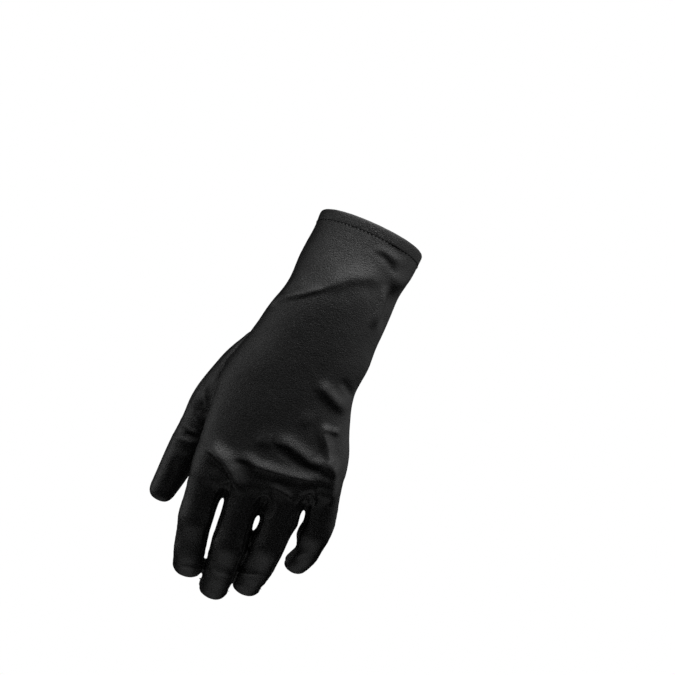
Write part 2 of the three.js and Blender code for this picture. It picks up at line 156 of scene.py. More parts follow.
seamForm = {
    # half the strip's width; it thins by this share between two places along the finger
    "fourchetteHalf": 5.5, "fourchetteThin": 1.1, "fourchetteTaper": (0.3, 1.1),
    "fourchetteReach": 17, "fourchetteStart": -2,
    "thumbReach": 2.2, "thumbPalm": 4.5, "thumbTop": -56, "thumbTopFrom": 0.4, "thumbSquareness": 2.2,
    "thumbRadius": 12, "thumbLineSide": 2,
    # the thumb piece ends along this line of (x, z) points on the back of the hand
    "thumbLine": [(-41.5, -80), (-42.4, -92.7), (-42.6, -105), (-41.1, -111.8), (-39, -117.5), (-38, -128.7),
                  (-37.3, -141.6), (-36, -152)],
    "snap": 0.12, "fieldEnd": 3,
    "grooveDepth": 0.34, "grooveWidth": 0.8, "pillow": 0.14, "pillowAt": 2.3, "pillowWidth": 1.2,
    "slit": 0.03, "smooth": 3, "reach": 9,
    "puckerHeight": 0.2, "puckerReach": 3.2, "puckerLength": 2.6, "puckerAbove": 0.35, "puckerEnd": -120,
}

skinForm = {
    "voxel": 0.85, "cloth": 0.9, "smooth": 6, "relax": 0.55, "restore": 0.58,
    "blendAt": -147, "blendReach": 26, "blendSmooth": 26, "blend": 0.6, "blendFade": (0.55, 1.0),
    "sway": 0.3, "swaySize": 17, "ripple": 0.1, "rippleSize": (6.5, 6.5, 9), "rippleShift": 7,
    "seamWidth": 7.0, "seamBlend": (-128, -100), "cuffTop": 6, "cuffEdge": 6.2, "rippleFrom": (5, 22),
}

fingerNames = ["index", "middle", "ring", "little"]
fingerPairs = list(zip(fingerNames, fingerNames[1:]))


def smoothstep(x, low, high):
    t = np.clip((x - low) / (high - low), 0, 1)
    return t * t * (3 - 2 * t)


def tableCurve(rows, along, name):  # a smooth curve through one column of a table
    xs = np.array([row[along] for row in rows], float)
    ys = np.array([row[name] for row in rows], float)
    slopes = np.gradient(ys, xs)
    slopes[1:-1] = (ys[2:] - ys[:-2]) / (xs[2:] - xs[:-2])

    def value(x):
        x = np.clip(np.asarray(x, float), xs[0], xs[-1])
        i = np.clip(np.searchsorted(xs, x, side="right") - 1, 0, len(xs) - 2)
        span = xs[i + 1] - xs[i]
        t = (x - xs[i]) / span
        rest = 1 - t
        return (rest * rest * (1 + 2 * t) * ys[i] + t * rest * rest * span * slopes[i]
                + t * t * (3 - 2 * t) * ys[i + 1] - t * t * rest * span * slopes[i + 1])
    return value


handColumn = {name: tableCurve(handForm["sections"], "down", name)
              for name in ("side", "front", "wide", "deep", "slant", "lean")}


def superCircle(count, squareness):  # corners of a ring with bulging sides, on half axes of 1
    angle = np.arange(count) * 2 * math.pi / count

    def part(v):
        return np.sign(v) * np.abs(v) ** (2 / squareness)
    return part(np.cos(angle)), part(np.sin(angle))


def handRing(down, inset=0.0, wideScale=1.0, deepScale=1.0, count=None):
    f = handForm
    c = {name: float(curve(down)) for name, curve in handColumn.items()}
    halfWidth = (f["cuffWidth"] + (f["palmWidth"] - f["cuffWidth"]) * c["wide"]) / 2 - inset
    halfDepth = (f["cuffDepth"] + (f["palmDepth"] - f["cuffDepth"]) * c["deep"]) / 2 - inset
    cuff, palm = f["squareness"]
    squareness = cuff + (palm - cuff) * float(smoothstep(down, *f["squaring"]))
    x, y = superCircle(count or f["corners"], squareness)
    x, y = x * halfWidth * wideScale, y * halfDepth * deepScale
    lean, slant = math.radians(c["lean"]), math.radians(-c["slant"])
    ring = np.stack([x, y * math.cos(lean), y * math.sin(lean)], axis=1)
    turned = np.stack([ring[:, 0] * math.cos(slant) + ring[:, 2] * math.sin(slant), ring[:, 1],
                       -ring[:, 0] * math.sin(slant) + ring[:, 2] * math.cos(slant)], axis=1)
    middle = np.array([c["side"] * f["palmWidth"], -c["front"] * f["palmDepth"], -down * f["length"]])
    return turned + middle


def handRings(top):
    f = handForm
    downs = np.arange(top, f["length"], f["ringStep"]) / f["length"]
    rings = [handRing(down) for down in downs]
    wide, deep = (tableCurve(f["closing"], "on", name) for name in ("wide", "deep"))
    for on in np.linspace(0, 1, f["closingRings"]):
        down = (f["length"] + on * f["knuckleReach"]) / f["length"]
        rings.append(handRing(down, 0, float(wide(on)), float(deep(on))))
    return rings


def boneAxis(finger, before, beyond, step=0.5):  # where a finger is, and how it is turned, along it
    bends = [0.0] + [share * finger["length"] for share in finger["joints"]]
    reach = fingerForm["jointReach"]
    s = np.arange(-before, finger["length"] + beyond + step, step)

    def along(angles, start):
        total = np.full(len(s), float(start))
        for i, angle in enumerate(angles):
            last = angles[i - 1] if i else start
            total += (angle - last) * smoothstep(s, bends[i] - reach, bends[i] + reach)
        return np.radians(total)
    curl = along(finger["curls"], finger.get("palmCurl", 0))
    sway = along(finger["sways"], finger.get("palmSway", 0))
    zero = np.zeros(len(s))
    onward = np.stack([np.sin(sway), np.sin(curl) * np.cos(sway), -np.cos(curl) * np.cos(sway)], axis=1)
    right = np.stack([np.cos(sway), -np.sin(curl) * np.sin(sway), np.cos(curl) * np.sin(sway)], axis=1)
    palm = np.stack([zero, np.cos(curl), np.sin(curl)], axis=1)
    place = np.concatenate([np.zeros((1, 3)), np.cumsum((onward[1:] + onward[:-1]) / 2 * step, axis=0)])
    place -= [np.interp(0, s, place[:, k]) for k in range(3)]
    place += [finger["side"] * handForm["palmWidth"], -finger["front"] * handForm["palmDepth"],
              -finger["down"] * handForm["length"]]
    return {"s": s, "place": place, "right": right, "palm": palm, "onward": onward}


def onAxis(axis, s, name):
    return np.stack([np.interp(s, axis["s"], axis[name][:, k]) for k in range(3)], axis=-1)


fingerAxes = {name: boneAxis(fingerForm[name], fingerForm["before"], fingerForm["beyond"])
              for name in fingerNames}
thumbAxis = boneAxis(thumbForm, thumbForm["before"], thumbForm["beyond"])


def fingerRings(finger, axis, sections):
    length, tipRound = finger["length"], fingerForm["tipRound"]
    wide, deep = (tableCurve(sections, "at", name) for name in ("wide", "deep"))
    straight = length - tipRound
    places = [(s, 1.0) for s in np.arange(sections[0]["at"] * length, straight, fingerForm["ringStep"])]
    square = fingerForm["tipSquareness"]
    for past in np.sin(np.linspace(0, math.pi / 2, fingerForm["tipRings"])):
        places.append((straight + past * tipRound, (1.015 - past ** square) ** (1 / square)))
    x, y = superCircle(fingerForm["corners"], fingerForm["squareness"])
    rings = []
    for s, shrink in places:
        halfWidth = float(wide(s / length)) * finger["width"] / 2 * shrink
        halfDepth = float(deep(s / length)) * finger["depth"] / 2 * shrink
        place, right, palm = (onAxis(axis, s, name) for name in ("place", "right", "palm"))
        halfWidths = np.full(len(x), halfWidth)
        for bulge in finger.get("bulges", []):
            out = bulge["out"] * math.exp(-((s / length - bulge["at"]) / bulge["reach"]) ** 2)
            halfWidths += out * (x * bulge["side"] > 0)
        rings.append(place + np.outer(x * halfWidths, right) + np.outer(y * halfDepth, palm))
    return rings


def webRings(first, second):  # the cloth between two fingers, as a flat tube from one to the other
    axisA, axisB = fingerAxes[first], fingerAxes[second]
    w = webForm
    reachA, reachB = w["reach"][first]
    x, y = superCircle(w["corners"], w["squareness"])
    rings = []
    for t in np.linspace(w["start"], 1, w["rings"]):
        a = onAxis(axisA, t * reachA * fingerForm[first]["length"], "place")
        b = onAxis(axisB, t * reachB * fingerForm[second]["length"], "place")
        palm = onAxis(axisA, t * reachA * fingerForm[first]["length"], "palm")
        half = w["half"] * (1 + w["spread"] * (1 - max(t, 0)))
        half *= 1 - max(t - w["thinFrom"], 0) * w["thinning"]
        middle, across = (a + b) / 2, (b - a) / 2
        rings.append(middle + np.outer(x, across) + np.outer(y * half, palm))
    return rings


def tubeInto(bm, rings):  # an open tube: one circle, extruded ring by ring; returns its two edge loops
    turn = bm.verts.layers.int.get("turn") or bm.verts.layers.int.new("turn")
    verts = bmesh.ops.create_circle(bm, cap_ends=False, segments=len(rings[0]), radius=1)["verts"]
    for i, v in enumerate(verts):
        v[turn] = i
        v.co = Vector(rings[0][i] * mm)
    edges = firstEdges = list({e for v in verts for e in v.link_edges})
    for ring in rings[1:]:
        made = bmesh.ops.extrude_edge_only(bm, edges=edges)["geom"]
        fresh = {g for g in made if isinstance(g, bmesh.types.BMVert)}
        for v in fresh:
            v.co = Vector(ring[v[turn]] * mm)
        edges = [g for g in made if isinstance(g, bmesh.types.BMEdge) and set(g.verts) <= fresh]
    return firstEdges, edges


def loftInto(bm, rings):  # a tube with both ends capped
    for edges in tubeInto(bm, rings):
        bmesh.ops.edgeloop_fill(bm, edges=edges)


def meshOf(bm, name):
    mesh = bpy.data.meshes.new(name)
    bm.to_mesh(mesh)
    bm.free()
    return mesh


def showObject(mesh, name):
    piece = bpy.data.objects.new(name, mesh)
    bpy.context.scene.collection.objects.link(piece)
    return piece


def bakedMesh(piece):  # the piece's mesh with its modifiers applied
    graph = bpy.context.evaluated_depsgraph_get()
    return bpy.data.meshes.new_from_object(piece.evaluated_get(graph))


# the whole glove as one closed body
print("glove body: lofting the hand, fingers and thumb")
bm = bmesh.new()
loftInto(bm, handRings(-skinForm["cuffTop"]))
for name in fingerNames:
    loftInto(bm, fingerRings(fingerForm[name], fingerAxes[name], fingerForm["sections"]))
loftInto(bm, fingerRings(thumbForm, thumbAxis, thumbForm["sections"]))
for first, second in fingerPairs:
    loftInto(bm, webRings(first, second))
bmesh.ops.recalc_face_normals(bm, faces=bm.faces)
body = showObject(meshOf(bm, "glove_body"), "glove_body")
remesh = body.modifiers.new("fuse", "REMESH")
remesh.mode = "VOXEL"
remesh.voxel_size = skinForm["voxel"] * mm
fused = bakedMesh(body)
bpy.data.objects.remove(body)
print("glove body: fused,", len(fused.vertices), "points")

points = np.zeros(len(fused.vertices) * 3)
fused.vertices.foreach_get("co", points)
points = points.reshape(-1, 3) / mm
edgeList = np.zeros(len(fused.edges) * 2, int)
fused.edges.foreach_get("vertices", edgeList)
edgeList = edgeList.reshape(-1, 2)
degree = np.bincount(edgeList.ravel(), minlength=len(points))[:, None]


def neighbourMean(values):
    total = np.zeros_like(values)
    np.add.at(total, edgeList[:, 0], values[edgeList[:, 1]])
    np.add.at(total, edgeList[:, 1], values[edgeList[:, 0]])
    return total / degree


for i in range(skinForm["smooth"]):  # smoothing that keeps the fingers' thickness
    points += skinForm["relax"] * (neighbourMean(points) - points)
    points -= skinForm["restore"] * (neighbourMean(points) - points)

# the hand flows into the fingers without a step
fromKnuckles = np.abs(points[:, 2] - skinForm["blendAt"]) / skinForm["blendReach"]
blend = skinForm["blend"] * (1 - smoothstep(fromKnuckles, *skinForm["blendFade"]))[:, None]
for i in range(skinForm["blendSmooth"]):
    points += blend * (neighbourMean(points) - points)


def localTo(axis, points):  # s along the finger from its knuckle, across it, above it towards the palm
    tree = KDTree(len(axis["s"]))
    for i, place in enumerate(axis["place"]):
        tree.insert(place, i)
    tree.balance()
    near = np.array([tree.find(p)[1] for p in points])
    offset = points - axis["place"][near]
    s = axis["s"][near] + (offset * axis["onward"][near]).sum(1)
    across = (offset * axis["right"][near]).sum(1)
    above = (offset * axis["palm"][near]).sum(1)
    return {"s": s, "across": across, "above": above, "away": np.hypot(across, above)}


def seamHeight(points):  # the height of the seam between back and palm, seen from the front
    x, z = points[:, 0], points[:, 2]
    total, weights = np.zeros(len(points)), np.full(len(points), 1e-9)
    for name in fingerNames:
        axis = fingerAxes[name]
        order = np.argsort(axis["place"][:, 2])
        zs = axis["place"][order, 2]
        ax = np.interp(z, zs, axis["place"][order, 0])
        ay = np.interp(z, zs, axis["place"][order, 1])
        w = np.exp(-((x - ax) / skinForm["seamWidth"]) ** 2) + 1e-7 / (1 + np.abs(x - ax))
        total += w * ay
        weights += w
    fingersHeight = total / weights
    handHeight = -handColumn["front"](-z / handForm["length"]) * handForm["palmDepth"]
    blend = smoothstep(z, *skinForm["seamBlend"])
    return fingersHeight * (1 - blend) + handHeight * blend


print("glove body: measuring along the fingers")
frames = {name: localTo(axis, points) for name, axis in fingerAxes.items()}
thumbFrame = localTo(thumbAxis, points)

# Folds of the cloth. The path runs through (x, z) points, rise is how far the cloth lifts,
# left and right are how far the fold spreads to either side of its path, all in millimetres.
handFolds = [
    # the crease across the wrist, with the cuff's cloth sliding over it
    {"path": [(-38, -62), (-25, -52), (-12, -41), (-3, -31), (7, -23.5), (20, -19)],
     "rise": 2.0, "left": 14, "right": 17},
    {"path": [(-42, -64), (-34, -57.5), (-27, -51.5), (-19, -45.5), (-12, -39.5), (-5, -33)],
     "rise": 1.3, "left": 2.6, "right": 1.2},
    {"path": [(-12, -38), (-6, -33), (0, -27.5), (8, -23), (18, -21)], "rise": 1.1, "left": 5, "right": 3.2},
    {"path": [(-38, -56), (-31, -50.5), (-25, -46), (-18, -41.5)], "rise": -0.7, "left": 1.5, "right": 1.2},
    # the arc under the hem, and the pinched cloth at the wrist's outer side
    {"path": [(6, -8), (12, -9.5), (17, -12.5), (20.5, -16)], "rise": -0.7, "left": 1.8, "right": 2.0},
    {"path": [(4, -7), (13, -7.5), (21, -8.5)], "rise": 0.5, "left": 2.2, "right": 1.8},
    {"path": [(8, -1.5), (15, -2.5), (23, -5)], "rise": -0.5, "left": 2.4, "right": 2.4},
    {"path": [(18, -19), (24, -17.5), (31, -15)], "rise": 1.5, "left": 4.5, "right": 5},
    {"path": [(22, -20), (23, -27), (24.5, -36), (28, -47)], "rise": -1.6, "left": 2.1, "right": 2.1},
    {"path": [(17, -22), (20, -31), (20.6, -38), (21, -47)], "rise": 1.5, "left": 1.8, "right": 2.4},
    {"path": [(27, -20), (28.5, -27), (30.5, -36)], "rise": 1.0, "left": 1.6, "right": 1.6},
    # the heel of the hand's outer side
    {"path": [(6, -83), (14, -87), (20, -89.5), (27, -92)], "rise": 1.9, "left": 3.8, "right": 2.8},
    {"path": [(17, -77), (22, -80), (28, -84)], "rise": -0.8, "left": 2.4, "right": 2.0},
    {"path": [(5, -103), (13, -104.5)], "rise": 0.5, "left": 4, "right": 4},
    {"path": [(18, -104.5), (23, -104), (29, -103)], "rise": 1.0, "left": 2.0, "right": 1.5},
    # the ridge over the knuckles, left to right, and the hollow above it
    {"path": [(-34, -139), (-27, -139.5), (-21, -141.5), (-15.5, -145), (-10.5, -149.5), (-6, -155)],
     "rise": 4.5, "left": 4.8, "right": 2.0},
    {"path": [(-18, -138.5), (-13, -136.3), (-9, -135.8), (-4, -136.8), (1.6, -136), (10, -134.8),
              (17.6, -133.4), (24.4, -131.8), (31, -130), (37, -130)],
     "rise": 3.0, "left": 3.4, "right": 1.4},
    {"path": [(29, -134), (34, -135), (41, -136)], "rise": 2.2, "left": 7, "right": 4},
    {"path": [(-11, -124), (-1, -122.5)], "rise": 0.8, "left": 4.5, "right": 3},
    {"path": [(-3, -120.5), (6, -120), (14, -121.5), (20, -123.5), (26, -124)],
     "rise": 2.3, "left": 4.2, "right": 1.9},
    {"path": [(0, -124.5), (8, -125.8), (14, -127), (20, -128.2)], "rise": -0.5, "left": 1.8, "right": 1.9},
    {"path": [(18, -101), (20.5, -107), (24.5, -112), (28.5, -118), (29.5, -128)],
     "rise": 2.2, "left": 2.8, "right": 2.2},
    {"path": [(21, -120), (25, -122), (30, -122.5), (37, -124)], "rise": 2.4, "left": 4.6, "right": 3.0},
    {"path": [(23, -128.5), (30, -128), (38, -127)], "rise": 0.9, "left": 3.0, "right": 2.0},
    {"path": [(29.5, -115), (31.5, -120), (35, -126.5), (36.2, -132), (37.5, -141)],
     "rise": 1.5, "left": 2.8, "right": 1.6},
    # below the knuckles
    {"path": [(-30, -145), (-22, -147.5), (-14, -150), (-8, -155)], "rise": -1.1, "left": 1.6, "right": 3.0},
    {"path": [(-8, -143), (4, -142), (16, -139.5), (29, -136)], "rise": -1.2, "left": 3.0, "right": 4.0},
    {"path": [(5, -143.5), (12, -143.6), (17, -144), (22, -146)], "rise": 1.1, "left": 1.5, "right": 1.3},
    # the finger ends
    {"path": [(-8, -197), (0, -198.5), (8, -196.5)], "rise": 0.9, "left": 2.8, "right": 1.6},
    {"path": [(7, -196), (14, -193.5), (23, -190)], "rise": 0.75, "left": 1.3, "right": 1.0},
    {"path": [(10, -203), (17, -201.5), (24, -196)], "rise": 0.6, "left": 1.3, "right": 1.0},
    {"path": [(-27, -203), (-19, -204.5), (-10, -201.5)], "rise": 0.6, "left": 1.4, "right": 1.0},
    {"path": [(29, -175), (35, -173), (42, -166)], "rise": 0.6, "left": 2.4, "right": 1.6},
]
webFolds = [  # gathers round the ends of the slits between the fingers
    {"path": [(1.5, -160), (3, -151), (6.5, -147.3), (10, -150.5), (11.5, -160)],
     "rise": 1.0, "left": 1.0, "right": 0.9},
    {"path": [(4, -158), (5, -152.5), (6.7, -150.8), (8.2, -152.5), (8.7, -158)],
     "rise": -0.7, "left": 0.8, "right": 0.8},
    {"path": [(22, -151), (23.8, -141.5), (27.5, -137.6), (31, -140.5), (32.5, -151)],
     "rise": 1.0, "left": 1.0, "right": 0.9},
    {"path": [(25.5, -149), (26.3, -142.5), (28, -140.8), (29.3, -142.5), (30, -149)],
     "rise": -0.7, "left": 0.8, "right": 0.8},
    {"path": [(-20, -164), (-16.5, -153.5), (-13, -150.5), (-10.3, -154), (-9, -163)],
     "rise": 0.7, "left": 1.0, "right": 0.9},
    {"path": [(13, -150), (15, -155), (14, -163)], "rise": 0.6, "left": 1.5, "right": 1.2},
]
palmFolds = [
    {"path": [(-30, -54), (-10, -50), (14, -49), (28, -47)], "rise": -0.9, "left": 2.6, "right": 2.4},
    {"path": [(-26, -60), (-6, -57), (16, -57)], "rise": 0.5, "left": 3, "right": 3},
    {"path": [(-24, -78), (-14, -92), (-10, -108), (-14, -124)], "rise": -1.3, "left": 3.5, "right": 3.5},
    {"path": [(2, -84), (4, -104), (0, -124)], "rise": -0.7, "left": 6, "right": 6},
    {"path": [(-20, -128), (0, -126), (22, -120), (34, -112)], "rise": -0.8, "left": 3, "right": 3},
    {"path": [(-24, -138), (0, -138), (24, -130)], "rise": 0.6, "left": 3, "right": 3},
]
thumbFolds = [
    {"path": [(-47, -108), (-46, -113), (-43, -117)], "rise": 0.7, "left": 1.3, "right": 1.1},
    {"path": [(-50, -116), (-49, -120), (-46.5, -125), (-39, -130)], "rise": 1.1, "left": 1.1, "right": 1.2},
    {"path": [(-46, -118), (-43.5, -122), (-39, -125)], "rise": -0.9, "left": 1.3, "right": 1.4},
    {"path": [(-53, -131), (-49.5, -134), (-45, -135.2), (-39, -135.4)],
     "rise": 0.95, "left": 1.1, "right": 1.2},
    {"path": [(-47, -137.5), (-43, -138), (-38, -138)], "rise": -0.8, "left": 1.3, "right": 1.3},
    {"path": [(-54, -141.5), (-50, -142), (-46, -141.6), (-39, -141.4)],
     "rise": 0.85, "left": 1.2, "right": 1.3},
    {"path": [(-50, -146), (-45, -147), (-40, -147)], "rise": -0.5, "left": 1.6, "right": 1.8},
    {"path": [(-46, -150), (-44.5, -160), (-43, -172)], "rise": -0.6, "left": 2.6, "right": 2.2},
]


# where folds set in, as a start and a full value: distances in millimetres, foldEnds as a share of a
# path's length and facing of a normal that looks straight out of the back of the hand
foldZones = {
    "foldEnds": (-0.05, 0.3), "facing": (0.15, 0.65), "fromSeam": (0.5, 7), "web": (-6, -1),
    "thumbAlong": (-28, -16), "thumbAway": (-15.5, -13.0), "thumbSide": (-3, 2), "thumbBack": (-1, 4),
    "jointAlong": (4, 12), "jointAway": (-13.5, -11.5), "jointSide": (1, 6),
}


def zone(value, name):
    return smoothstep(value, *foldZones[name])


def foldLift(points, folds):
    lift = np.zeros(len(points))
    flat = points[:, [0, 2]]
    for fold in folds:
        path = np.array(fold["path"], float)
        steps = np.linalg.norm(np.diff(path, axis=0), axis=1)
        starts = np.concatenate([[0], np.cumsum(steps)])
        best = np.full(len(points), 1e9)
        value = np.zeros(len(points))
        for i, step in enumerate(steps):
            d = (path[i + 1] - path[i]) / step
            t = np.clip((flat - path[i]) @ d, 0, step)
            off = flat - path[i] - np.outer(t, d)
            away = np.hypot(off[:, 0], off[:, 1])
            side = d[0] * off[:, 1] - d[1] * off[:, 0]
            spread = np.where(side > 0, fold["left"], fold["right"])
            share = (starts[i] + t) / starts[-1]
            ends = zone(share, "foldEnds") * zone(1 - share, "foldEnds")
            height = fold["rise"] * np.exp(-(away / spread) ** 2) * ends
            nearer = away < best
            value[nearer] = height[nearer]
            best[nearer] = away[nearer]
        lift += value
    return lift


def pointNormals(mesh, points):
    mesh.vertices.foreach_set("co", (points * mm).ravel())
    mesh.update()
    normals = np.zeros(len(points) * 3)
    mesh.vertices.foreach_get("normal", normals)
    return normals.reshape(-1, 3)


print("glove body: folds")
normals = pointNormals(fused, points)
behind = points[:, 1] - seamHeight(points)  # above 0 on the palm's side
onThumb = (zone(thumbFrame["s"], "thumbAlong") * zone(-thumbFrame["away"], "thumbAway")
           * zone(behind, "thumbSide"))
facing = zone(-normals[:, 1], "facing")
backSide = zone(-behind, "fromSeam") * (1 - onThumb) * facing
palmSide = zone(behind, "fromSeam") * (1 - onThumb)
lift = foldLift(points, handFolds) * backSide + foldLift(points, palmFolds) * palmSide
lift += foldLift(points, webFolds) * zone(-behind, "web") * facing
lift += foldLift(points, thumbFolds) * onThumb * zone(-thumbFrame["above"], "thumbBack")

# cross creases where the fingers bend, on the palm's side, and tight cloth over the knuckles
jointForm = {
    "creaseWidth": 0.9, "knuckleWidth": 4.5, "knuckleRises": (0.55, 0.35),
    "creases": [{"off": -2.6, "rise": -0.28}, {"off": 0.2, "rise": -0.5}, {"off": 3.0, "rise": -0.3}],
}
for name in fingerNames:
    f, local = fingerForm[name], frames[name]
    near = zone(-local["away"], "jointAway") * zone(local["s"], "jointAlong")
    for joint, knuckleRise in zip(f["joints"], jointForm["knuckleRises"]):
        past = local["s"] - joint * f["length"]
        for c in jointForm["creases"]:
            crease = np.exp(-((past - c["off"]) / jointForm["creaseWidth"]) ** 2)
            lift += c["rise"] * crease * near * zone(local["above"], "jointSide")
        knuckle = np.exp(-(past / jointForm["knuckleWidth"]) ** 2)
        lift += knuckleRise * knuckle * near * zone(-local["above"], "jointSide")

waver = np.array([noise.noise(Vector(p / skinForm["swaySize"])) for p in points])
rippled = points / skinForm["rippleSize"] + [0, 0, skinForm["rippleShift"]]
fine = np.array([noise.noise(Vector(p)) for p in rippled])
uneven = skinForm["sway"] * waver + skinForm["ripple"] * fine
lift += uneven * smoothstep(-points[:, 2], *skinForm["rippleFrom"])
points += normals * lift[:, None]
fused.vertices.foreach_set("co", (points * mm).ravel())
fused.update()

# cut the skin along its seams
print("glove panels: seams")
bm = bmesh.new()
bm.from_mesh(fused)
values = bm.verts.layers.float.new("seam")


def cutAlong(bm, field):  # new edges where the field crosses zero
    co = np.array([v.co for v in bm.verts]) / mm
    f = field(co)
    f[np.abs(f) < seamForm["snap"]] = 0.0
    for v, value in zip(bm.verts, f):
        v[values] = value
    for e in [e for e in bm.edges if e.verts[0][values] * e.verts[1][values] < 0]:
        a, b = e.verts
        t = a[values] / (a[values] - b[values])
        bmesh.utils.edge_split(e, a, t)[1][values] = 0.0
    bmesh.ops.connect_verts(bm, verts=[v for v in bm.verts if v[values] == 0.0])


def clipped(field):
    return np.clip(field, -seamForm["fieldEnd"], seamForm["fieldEnd"])


def fourchetteField(i):  # above 0 on the facing sides of finger i and the next one
    first, second = fingerNames[i:i + 2]

    def field(points):
        a, b = localTo(fingerAxes[first], points), localTo(fingerAxes[second], points)
        nearer = a["away"] < b["away"]
        length = np.where(nearer, fingerForm[first]["length"], fingerForm[second]["length"])
        s = np.where(nearer, a["s"], b["s"])
        facing = np.where(nearer, a["across"], -b["across"])
        thin = smoothstep(s / length, *seamForm["fourchetteTaper"]) * seamForm["fourchetteThin"]
        half = seamForm["fourchetteHalf"] * (1 - thin)
        sides = half - np.abs(np.where(nearer, a["above"], b["above"]))
        near = seamForm["fourchetteReach"] - np.minimum(a["away"], b["away"])
        return clipped(np.minimum.reduce([sides, facing, near, s - seamForm["fourchetteStart"]]))
    return field


def thumbField(points):  # above 0 on the thumb piece
    f, local = seamForm, localTo(thumbAxis, points)
    wide, deep = (tableCurve(thumbForm["sections"], "at", name) for name in ("wide", "deep"))
    share = local["s"] / thumbForm["length"]
    halfWidth = wide(share) * thumbForm["width"] / 2 + f["thumbReach"]
    halfDepth = deep(share) * thumbForm["depth"] / 2 + f["thumbReach"] + f["thumbPalm"]
    # the end in the palm is rounded
    above = np.clip((local["s"] / f["thumbTop"] - f["thumbTopFrom"]) / (1 - f["thumbTopFrom"]), 0, 0.999)
    x = np.abs(local["across"]) / (halfWidth * np.sqrt(1 - above ** 2))
    y = np.abs(local["above"] - f["thumbPalm"]) / halfDepth
    square = f["thumbSquareness"]
    radial = (1 - (x ** square + y ** square) ** (1 / square)) * f["thumbRadius"]
    top = local["s"] - f["thumbTop"]
    line = np.array(f["thumbLine"])[::-1]
    edge = np.interp(points[:, 2], line[:, 1], line[:, 0]) - points[:, 0]
    edge = np.where(points[:, 1] < seamHeight(points) + f["thumbLineSide"], edge, f["fieldEnd"])
    return clipped(np.minimum.reduce([radial, top, edge]))


def sideField(points):  # above 0 on the palm's side
    return clipped(points[:, 1] - seamHeight(points))


fields = {"thumb_panel": thumbField}
for i, (first, second) in enumerate(fingerPairs):
    fields[f"fourchette_{first}_{second}"] = fourchetteField(i)
fields["side"] = sideField
for field in fields.values():
    cutAlong(bm, field)
bmesh.ops.triangulate(bm, faces=[f for f in bm.faces if len(f.verts) > 4])

centres = np.array([f.calc_center_median() for f in bm.faces]) / mm
pieceOf = np.full(len(centres), "", object)
for name, field in fields.items():
    inside = field(centres) > 0
    free = pieceOf == ""
    if name == "side":
        pieceOf[free & inside] = "palm_panel"
        pieceOf[free & ~inside] = "back_panel"
    else:
        pieceOf[free & inside] = name
pieceNames = ["back_panel", "palm_panel", "thumb_panel", "fourchette_index_middle", "fourchette_middle_ring",
              "fourchette_ring_little"]
for f, name in zip(bm.faces, pieceOf):
    f.material_index = pieceNames.index(name)

# the cuff is open: nothing is kept above the hem's lower edge
rimMiddle = handRing(skinForm["cuffEdge"] / handForm["length"]).mean(axis=0)
lean = math.radians(float(handColumn["lean"](0)))
bmesh.ops.bisect_plane(bm, geom=bm.verts[:] + bm.edges[:] + bm.faces[:], dist=1e-6,
                       plane_co=Vector(rimMiddle * mm), plane_no=Vector((0, -math.sin(lean), math.cos(lean))),
                       clear_outer=True, clear_inner=False)


def joinIslands(bm):  # tiny islands left by crossing seams join the piece round them
    seen, islands = set(), []
    for face in bm.faces:
        if face in seen:
            continue
        island, queue = [], [face]
        seen.add(face)
        while queue:
            f = queue.pop()
            island.append(f)
            for e in f.edges:
                for g in e.link_faces:
                    if g not in seen and g.material_index == face.material_index:
                        seen.add(g)
                        queue.append(g)
        islands.append(island)
    for index in range(len(pieceNames)):
        same = sorted((i for i in islands if i[0].material_index == index), key=len, reverse=True)
        for island in same[1:]:
            members = set(island)
            around = [g.material_index for f in island for e in f.edges for g in e.link_faces
                      if g not in members]
            if around:
                for f in island:
                    f.material_index = max(set(around), key=around.count)


for i in range(2):
    joinIslands(bm)

corner = bm.verts.layers.int.new("corner")  # 1 where three pieces meet, so that no hole is left there
for v in bm.verts:
    v[corner] = len({f.material_index for f in v.link_faces}) > 2

# seam grooves, with the cloth puckered beside them
seamVerts = [v for v in bm.verts if len({f.material_index for f in v.link_faces}) > 1]
print("glove panels:", len(seamVerts), "seam points,", len(bm.faces), "faces")
for i in range(seamForm["smooth"]):
    moved = {}
    for v in seamVerts:
        ends = [e.other_vert(v) for e in v.link_edges
                if len(e.link_faces) == 2 and len({f.material_index for f in e.link_faces}) == 2]
        if len(ends) == 2:
            moved[v] = v.co * 0.5 + (ends[0].co + ends[1].co) * 0.25
    for v, co in moved.items():
        v.co = co
tree = KDTree(len(seamVerts))
for i, v in enumerate(seamVerts):
    tree.insert(v.co, i)
tree.balance()
bm.normal_update()
s = seamForm
moves = []
for v in bm.verts:
    d = tree.find(v.co)[2] / mm
    if d > s["reach"]:
        continue
    p = v.co / mm
    ripple = noise.noise(p / s["puckerLength"])
    lift = -s["grooveDepth"] * math.exp(-(d / s["grooveWidth"]) ** 2)
    lift += s["pillow"] * math.exp(-((d - s["pillowAt"]) / s["pillowWidth"]) ** 2)
    fade = s["puckerAbove"] if p.z > s["puckerEnd"] else 1.0
    lift += fade * s["puckerHeight"] * ripple * math.exp(-(d / s["puckerReach"]) ** 2) * min(d / 0.6, 1)
    moves.append((v, v.normal * lift * mm))
for v, move in moves:
    v.co += move


# materials
class Socket:  # shader maths as Python expressions
    def __init__(self, tree, socket):
        self.tree, self.socket = tree, socket

    def maths(self, operation, *values):
        return makeNode(self.tree, "ShaderNodeMath", {"operation": operation}, dict(enumerate(values)))

    def __add__(self, other):
        return self.maths("ADD", self, other)

    def __radd__(self, other):
        return self.maths("ADD", other, self)

    def __sub__(self, other):
        return self.maths("SUBTRACT", self, other)

    def __rsub__(self, other):
        return self.maths("SUBTRACT", other, self)

    def __mul__(self, other):
        return self.maths("MULTIPLY", self, other)

    def __rmul__(self, other):
        return self.maths("MULTIPLY", other, self)


